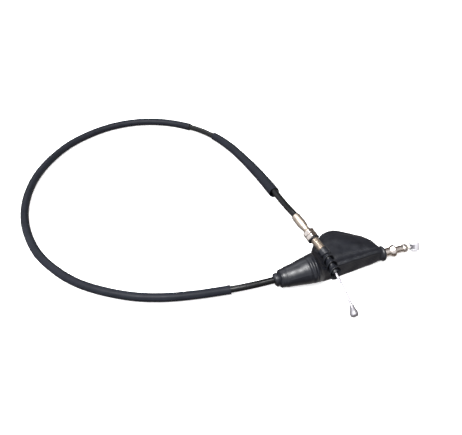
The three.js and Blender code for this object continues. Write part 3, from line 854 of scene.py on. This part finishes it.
def pear_nipple():
    """A cast pear on the wire's end, with a collar at its neck and a faint parting line round it."""
    back = drop_route.length / MM - STEM_POINT_ON_DROP / MM - PEAR_LENGTH
    profile = [
        [1.15, back], [1.75, back], [2.05, back + 0.3], [2.05, back + 1.1], [1.9, back + 1.5],
        [2.2, back + 2.6], [2.65, back + 3.8], [3.2, back + 5.3], [3.55, back + 6.6], [3.7, back + 7.6],
        [3.5, back + 8.7], [3, back + 9.4], [2.45, back + 9.75], [1.3, back + PEAR_LENGTH],
        [1.2, back + 9.5], [0, back + 9.5], [0, back + 5.5], [1.15, back + 5.5],
    ]
    sides = 56
    vertices, faces = along_drop(eased(profile, 0.3, 3), sides)
    rows = vertices.reshape(-1, sides, 3)
    out = rows - rows.mean(axis=1, keepdims=True)
    flash = np.zeros((1, sides, 1))
    flash[0, [0, sides // 2], 0] = 0.12 * MM
    raised = np.where(np.linalg.norm(out, axis=2, keepdims=True) > 1.8 * MM, flash, 0)
    return (rows + units(out) * raised).reshape(-1, 3), faces


dressed(
    piece("engine_fitting_plated", *merged(crimp_barrel(), threaded_stem())),
    THREAD_PLATE, "casing", ["threaded_fitting"],
)
dressed(hex_nut("adjusting_nut"), PLATE, "adjusting_nut_body", ["adjusting_nut"])
dressed(hex_nut("lock_nut"), PLATE, "lock_nut_body", ["lock_nut"])
dressed(washer(), SMALL_RUBBER, "washer_body", ["rubber_washer"])
dressed(bellows(), SMALL_RUBBER, "casing", ["bellows"])
dressed(
    stranded("engine_strand", drop_route, 0, drop_route.length - 0.005),
    STRAND, "engine_wire_end", ["engine_wire"],
)
dressed(
    piece("pear_nipple_cast", *pear_nipple(), sharp_degrees=60),
    ZINC, "engine_wire_end", ["pear_nipple"],
)

# ---- dust boot

BOOT_STATIONS = 250
BOOT_WALL = 1.7
COLLAR_BORE = 3.3
LIP_BORE = 4.75
# Points round a section on its five sides: far wall, top, ridge, near wall and bottom
SIDE_POINTS = (22, 38, 8, 34, 30)
# The angles about a round section at which those sides begin
ROUND_ANGLES = np.radians([-40, 42, 108, 122, 222, 320])

# Round sections, for the collar, cone and lip: x, near, far, low and high
ROUND_KEYS = np.array([
    [-70.6, -1.8, 7.7, 2.3, 11.9],
    [-69.6, -3.2, 8.8, 0.9, 13.1],
    [-66.9, -3.5, 9.1, 0.5, 13.6],
    [-66.2, -5.7, 10.3, 0, 15.9],
    [-60, -7.4, 11.4, -0.2, 18],
    [-50, -9.2, 12.7, -0.2, 20.9],
    [-41, -10.9, 14.4, -0.2, 23.7],
    [-36.5, -11.8, 15.4, -0.2, 25],
    [-34.2, -11.9, 16.6, -0.2, 24.6],
    [-31, -11, 19.3, -0.2, 20.8],
    [-27, -10.2, 24, -0.2, 18],
    [-22, -9.4, 29, -0.2, 17],
    [29, -3.6, 15, 0.6, 14.2],
    [33, -3.3, 9.6, 0.8, 13.5],
    [35.8, -3.2, 9.3, 0.9, 13.4],
])
# Hooded sections: x, near, far, crest's y, crest's z, height at the far side and radius of the near corner
HOOD_KEYS = np.array([
    [-34, -7.6, 16.8, -4.4, 18, 13, 2.5],
    [-28, -7.5, 23, -3.7, 16, 12, 2.5],
    [-24.6, -7.4, 28.2, -3.3, 15.4, 12, 2.5],
    [-20, -7.3, 32.9, -2.8, 15.2, 12, 2.5],
    [-13.7, -6.9, 37.4, -2.3, 15.1, 12, 2.5],
    [-8.5, -6.5, 40.4, -1.9, 15.1, 12, 2.6],
    [-3.7, -6, 41.2, -1.5, 15.1, 12, 2.7],
    [2.7, -5.2, 40.5, -1, 15.1, 12, 3],
    [7.8, -4.6, 37.7, -0.6, 15.1, 12, 3.3],
    [16, -3.7, 32.1, 0.1, 15, 12, 4.2],
    [24.1, -3.4, 26.5, 0.8, 14.8, 12, 5.2],
    [29.2, -3.4, 21.6, 1.2, 14.5, 11.6, 5.8],
    [31.7, -3.3, 16.4, 1.4, 14.1, 11, 6],
    [33.5, -3.2, 12.5, 1.5, 13.7, 10.5, 6],
])
CREST_WIDTH = 2.6
FAR_CORNER = 5.0


def softened(values, stations, width):
    """Values along the stations, averaged over about that width to leave no kink."""
    spacing = stations[1] - stations[0]
    reach = int(math.ceil(3 * width / spacing))
    weights = np.exp(-0.5 * (np.arange(-reach, reach + 1) * spacing / width) ** 2)
    padded = np.concatenate([
        2 * values[0] - values[reach:0:-1], values, 2 * values[-1] - values[-2:-reach - 2:-1],
    ])
    return np.convolve(padded, weights / weights.sum(), "valid")


def round_section(near, far, low, high):
    angles = np.concatenate([
        np.linspace(a, b, n, endpoint=False)
        for a, b, n in zip(ROUND_ANGLES[:-1], ROUND_ANGLES[1:], SIDE_POINTS)
    ])
    across = (near + far) / 2 + (far - near) / 2 * np.cos(angles)
    height = (low + high) / 2 + (high - low) / 2 * np.sin(angles)
    return np.stack([across, height], axis=1)


def hood_section(near, far, crest_y, crest_z, far_height, near_corner):
    """A loaf-shaped section with a narrow crest above its near wall, its points spread by sides."""
    corners = np.array([
        [far, -0.3],
        [far, far_height],
        [crest_y + CREST_WIDTH / 2, crest_z + 0.35],
        [crest_y - CREST_WIDTH / 2, crest_z - 0.45],
        [near, -0.3],
    ])
    radii = [3.5, FAR_CORNER, 1.3, 1.7, near_corner]
    arcs = []
    for i, corner in enumerate(corners):
        before, after = unit(corners[i - 1] - corner), unit(corners[(i + 1) % 5] - corner)
        half = math.acos(np.clip(before @ after, -1, 1)) / 2
        reach = radii[i] / math.tan(half)
        centre = corner + unit(before + after) * radii[i] / math.sin(half)
        start, finish = corner + before * reach - centre, corner + after * reach - centre
        turn = math.acos(np.clip(unit(start) @ unit(finish), -1, 1))
        steps = np.linspace(0, turn, 13)[:, None]
        arcs.append(centre + (np.sin(turn - steps) * start + np.sin(steps) * finish) / math.sin(turn))
    points = []
    for i, count in enumerate(SIDE_POINTS):
        here, there = arcs[i], arcs[(i + 1) % 5]
        line = np.vstack([here[6:], there[:7]])
        places = np.append(0, np.cumsum(np.linalg.norm(np.diff(line, axis=0), axis=1)))
        wanted = np.linspace(0, places[-1], count, endpoint=False)
        points.append(np.stack([np.interp(wanted, places, line[:, k]) for k in (0, 1)], axis=1))
    return np.vstack(points)


def boot_outside():
    """The boot's plain outer skin as rings in the layout, and each point's side and place on it."""
    stations = np.linspace(ROUND_KEYS[0, 0], ROUND_KEYS[-1, 0], BOOT_STATIONS)
    rounds = np.stack([np.interp(stations, ROUND_KEYS[:, 0], column) for column in ROUND_KEYS[:, 1:].T])
    hoods = np.stack([
        softened(np.interp(stations, HOOD_KEYS[:, 0], column), stations, 1.6) for column in HOOD_KEYS[:, 1:].T
    ])
    cone = (stations > -65.2) & (stations < 30)
    for row in rounds:
        row[cone] = softened(row, stations, 1.1)[cone]
    hooded = smoothstep(-34.5, -26, stations) * (1 - smoothstep(29.5, 33.2, stations))
    side = np.concatenate([np.full(n, i) for i, n in enumerate(SIDE_POINTS)])
    share = np.concatenate([np.arange(n) / n for n in SIDE_POINTS])
    rings = []
    for i, x in enumerate(stations):
        ring = round_section(*rounds[:, i])
        if hooded[i] > 0:
            hood = hood_section(*hoods[:, i])
            wide = (hoods[1, i] - hoods[0, i]) / 45
            top = side == 1
            pillow = 1.5 * wide * np.sin(np.pi * share[top]) - 0.9 * wide * bump(share[top], 0.9, 0.07)
            groove = -0.4 * bump(share[top], 0.12, 0.035) * min(1, wide * 1.3)
            hood[top, 1] += pillow + groove
            ring = ring * (1 - hooded[i]) + hood * hooded[i]
        ring[:, 1] = np.maximum(ring[:, 1], 0)
        rings.append(np.column_stack([np.full(len(ring), x), ring]))
    return stations, np.array(rings), side, share


def outward_normals(rings):
    along = np.gradient(rings, axis=0)
    around = np.roll(rings, -1, axis=1) - np.roll(rings, 1, axis=1)
    normals = units(np.cross(around, along))
    out = rings - rings.mean(axis=1, keepdims=True)
    return normals * np.sign((out * normals).sum(axis=2).mean())


def boot_relief(stations, rings, side, share):
    """How far the skin stands proud of its plain shape, in millimetres, at each of its points."""
    x = stations[:, None]
    angle = np.arctan2(rings[..., 2] - 11, rings[..., 1] - 2)
    upper_near = 0.35 + 0.65 * smoothstep(-0.2, 0.9, np.sin(angle + 0.7 * np.sign(-np.cos(angle))))
    relief = np.zeros(rings.shape[:2])
    # The groove between the collar and the cone, and the soft band round the cone's small end
    relief += -0.5 * bump(x, -67.3, 0.5) + 0.1 * bump(x, -65.6, 0.5) - 0.22 * bump(x, -62.2, 0.6)
    # Two soft folds at the cone's wide end, then a fine mould line at its foot
    slant = 0.9 * np.sin(angle + 0.5)
    facing_up_near = bump(angle, 2.25, 0.75)
    relief += (0.55 * bump(x + slant, -41.6, 1.3) - 0.5 * bump(x + slant, -39.4, 0.8)) * facing_up_near
    relief += (0.7 * bump(x + slant, -37.4, 0.9) - 0.55 * bump(x + slant, -35.6, 0.7)) * facing_up_near
    relief += 0.25 * (bump(x + slant, -37.8, 1.6) - bump(x + slant, -40.2, 1.4)) * upper_near
    relief += 0.3 * bump(x, -32, 0.35) * (rings[..., 1] < 4) * smoothstep(2, 6, rings[..., 2])
    # The mould's parting line along the near side of the cone
    parting = (side == 3) & (np.abs(share - 9 / SIDE_POINTS[3]) < 1e-6)
    relief += 0.22 * parting[None] * smoothstep(-61, -58, x) * (1 - smoothstep(-37, -34, x))
    # Fine ribs along the hood's near wall
    ribs = 0.5 - 0.5 * np.cos(share * TAU * 8)
    wall = (side == 3) * smoothstep(0.08, 0.2, share) * (1 - smoothstep(0.8, 0.92, share))
    relief += -0.13 * (ribs * wall)[None] * smoothstep(-22, -17, x) * (1 - smoothstep(27, 30, x))
    # The rolled lip
    relief += 0.75 * smoothstep(33.1, 33.7, x) * (1 - 0.9 * smoothstep(35, 35.8, x))
    # Two soft swellings on the hood's top
    on_top = (side == 1) * smoothstep(0, 0.15, share) * (1 - smoothstep(0.85, 1, share))
    for rise, middle, reach in ((0.9, (1, 23), (9, 6)), (0.6, (11, 14.5), (8, 4.5))):
        away = np.linalg.norm((rings[..., :2] - middle) / reach, axis=2)
        relief += rise * np.exp(-away ** 2) * on_top
    # The softness of the whole
    soft = smoothstep(-65, -60, x) * (1 - smoothstep(28, 32, x))
    relief += (0.2 * drift(31, rings, 24) + 0.09 * drift(32, rings, 10)) * soft
    return relief


# The slot along the hood's far edge: its middle, half length and half height, in the layout
SLOT_MIDDLE = np.array([8, 6])
SLOT_HALF_LENGTH = 16.0
SLOT_HALF_HEIGHT = 3.5


def slot_distance(rings):
    """How far each point is outside the slot's outline, seen from the far side. Inside it is negative."""
    x = np.maximum(np.abs(rings[..., 0] - SLOT_MIDDLE[0]) - SLOT_HALF_LENGTH, 0)
    z = rings[..., 2] - SLOT_MIDDLE[1]
    distance = np.hypot(x, z) - SLOT_HALF_HEIGHT
    return np.where(rings[..., 1] > 14, distance, 99)


def boot_inside(stations, rings):
    """The inner skin: the wall's thickness inside the outer one, but snug round casing and ferrule."""
    around = np.roll(rings, -1, axis=1) - np.roll(rings, 1, axis=1)
    inner = rings.copy()
    inner[..., 1:] -= units(np.stack([around[..., 2], -around[..., 1]], axis=2)) * BOOT_WALL
    axis = BARREL_IN_LAYOUT[1:]
    out = units(rings[..., 1:] - axis)
    x = stations[:, None, None]
    ends = (1 - smoothstep(-65, -61, x), COLLAR_BORE), (smoothstep(29.5, 32.5, x), LIP_BORE)
    for share, bore in ends:
        inner[..., 1:] = inner[..., 1:] * (1 - share) + (axis + out * bore) * share
    return inner


def dust_boot():
    stations, rings, side, share = boot_outside()
    relief = boot_relief(stations, rings, side, share)
    relief += 0.7 * bump(slot_distance(rings), 0.9, 0.9)
    outer = rings + outward_normals(rings) * relief[..., None]
    outer[..., 2] = np.maximum(outer[..., 2], 0)
    outer[..., 0] = np.clip(outer[..., 0], stations[0], stations[-1])
    inner = boot_inside(stations, rings)
    # The collar's end is cut at a slant, longer on the far side and on top
    slant = 1 - smoothstep(-70.6, -67.4, stations)[:, None]
    turn = np.arctan2(rings[..., 2] - BARREL_IN_LAYOUT[2], rings[..., 1] - BARREL_IN_LAYOUT[1])
    for skin in (outer, inner):
        skin[..., 0] -= 1.5 * slant * (0.5 + 0.5 * np.cos(turn - 1.4)) ** 2

    # What lies inside the slot's outline is left out, and points that border on it are drawn onto the outline
    distance = slot_distance(rings)
    pairs = distance + np.roll(distance, -1, axis=1)
    solid = pairs[:-1] + pairs[1:] > 0
    touched = np.zeros((2, *distance.shape), bool)
    for kind, quads in enumerate((solid, ~solid)):
        reached = quads | np.roll(quads, 1, axis=1)
        touched[kind, :-1] |= reached
        touched[kind, 1:] |= reached
    edge = touched.all(axis=0)
    along = np.clip(rings[..., 0], SLOT_MIDDLE[0] - SLOT_HALF_LENGTH, SLOT_MIDDLE[0] + SLOT_HALF_LENGTH)
    away = units(np.stack([rings[..., 0] - along, rings[..., 2] - SLOT_MIDDLE[1]], axis=2))
    move = np.where(edge, distance, 0)[..., None] * away
    for skin in (outer, inner):
        skin[..., 0::2] -= move

    vertices, faces = walled(outer, inner, solid, bulge=0.4)
    return piece("dust_boot_skin", laid(vertices), faces, sharp_degrees=60)


dressed(dust_boot(), BOOT_RUBBER, "boot", ["dust_boot"])

# ---- stage and light


def floor():
    mesh = bpy.data.meshes.new("floor")
    corners = [(-3, -3), (3, -3), (3, 3), (-3, 3)]
    mesh.from_pydata([(x, y, -0.0002) for x, y in corners], [], [(0, 1, 2, 3)])
    surface = Surface("floor_white", Roughness=0.9, Specular_IOR_Level=0.1)
    surface.colour(surface.mixed(surface.noise(400, 2), (0.93, 0.93, 0.93), (0.95, 0.95, 0.95)))
    surface.shader.inputs["Emission Color"].default_value = (1, 1, 1, 1)
    surface.shader.inputs["Emission Strength"].default_value = 0.62
    mesh.materials.append(surface.material)
    obj = bpy.data.objects.new("floor", mesh)
    obj.visible_glossy = False
    obj.visible_diffuse = False
    bpy.context.scene.collection.objects.link(obj)


def soft_box(name, place, width, depth, power):
    """A rectangular light over the middle of the cable, its long side along +X."""
    data = bpy.data.lights.new(name, "AREA")
    data.shape = "RECTANGLE"
    data.size = width
    data.size_y = depth
    data.energy = power
    obj = bpy.data.objects.new(name, data)
    obj.location = place
    obj.rotation_euler = (Vector((-0.05, 0.05, 0)) - Vector(place)).to_track_quat("-Z", "Y").to_euler()
    bpy.context.scene.collection.objects.link(obj)


# How bright the studio is, from the direction away from its bright side to the direction towards it
STUDIO_TONES = (
    (0, (0.74, 0.72, 0.72)),
    (0.19, (0.50, 0.48, 0.47)),
    (0.27, (0.13, 0.10, 0.075)),
    (0.33, (0.075, 0.055, 0.04)),
    (0.46, (0.10, 0.08, 0.065)),
    (0.54, (0.20, 0.175, 0.155)),
    (0.63, (0.36, 0.36, 0.38)),
    (0.68, (0.84, 0.84, 0.88)),
    (1, (0.96, 0.97, 1)),
)
BRIGHT_SIDE = unit([-0.75, -0.1, 0.65])


def studio_world():
    """A pale surround on the left, in front and above, with a dark side for bright metal to show.

    Behind the floor's edge it is seen as plain white.
    """
    world = bpy.data.worlds.new("studio")
    world.use_nodes = True
    nodes, links = world.node_tree.nodes, world.node_tree.links
    background = nodes["Background"]
    place = nodes.new("ShaderNodeTexCoord").outputs["Generated"]
    facing = nodes.new("ShaderNodeVectorMath")
    facing.operation = "DOT_PRODUCT"
    facing.inputs[1].default_value = BRIGHT_SIDE
    links.new(place, facing.inputs[0])
    halved = nodes.new("ShaderNodeMapRange")
    halved.inputs["From Min"].default_value = -1
    links.new(facing.outputs["Value"], halved.inputs["Value"])
    ramp = nodes.new("ShaderNodeValToRGB")
    stops = ramp.color_ramp.elements
    for _ in STUDIO_TONES[2:]:
        stops.new(0.5)
    for stop, (position, tone) in zip(stops, STUDIO_TONES):
        stop.position = position
        stop.color = (*tone, 1)
    links.new(halved.outputs["Result"], ramp.inputs["Fac"])
    seen = nodes.new("ShaderNodeMix")
    seen.data_type = "RGBA"
    links.new(nodes.new("ShaderNodeLightPath").outputs["Is Camera Ray"], seen.inputs[0])
    links.new(ramp.outputs["Color"], seen.inputs[6])
    seen.inputs[7].default_value = (1, 1, 1, 1)
    links.new(seen.outputs[2], background.inputs["Color"])
    bpy.context.scene.world = world


floor()
studio_world()
soft_box("key_light", (-0.42, -0.12, 0.93), 0.42, 0.42, 17)
soft_box("ridge_light", (0.14, -0.16, 1), 0.22, 0.22, 3)
soft_box("fill_light", (0.5, -0.7, 0.6), 0.8, 0.8, 0.7)
soft_box("back_light", (-0.15, 0.8, 0.75), 0.3, 0.3, 1.2)
bpy.context.scene.view_settings.view_transform = "Standard"
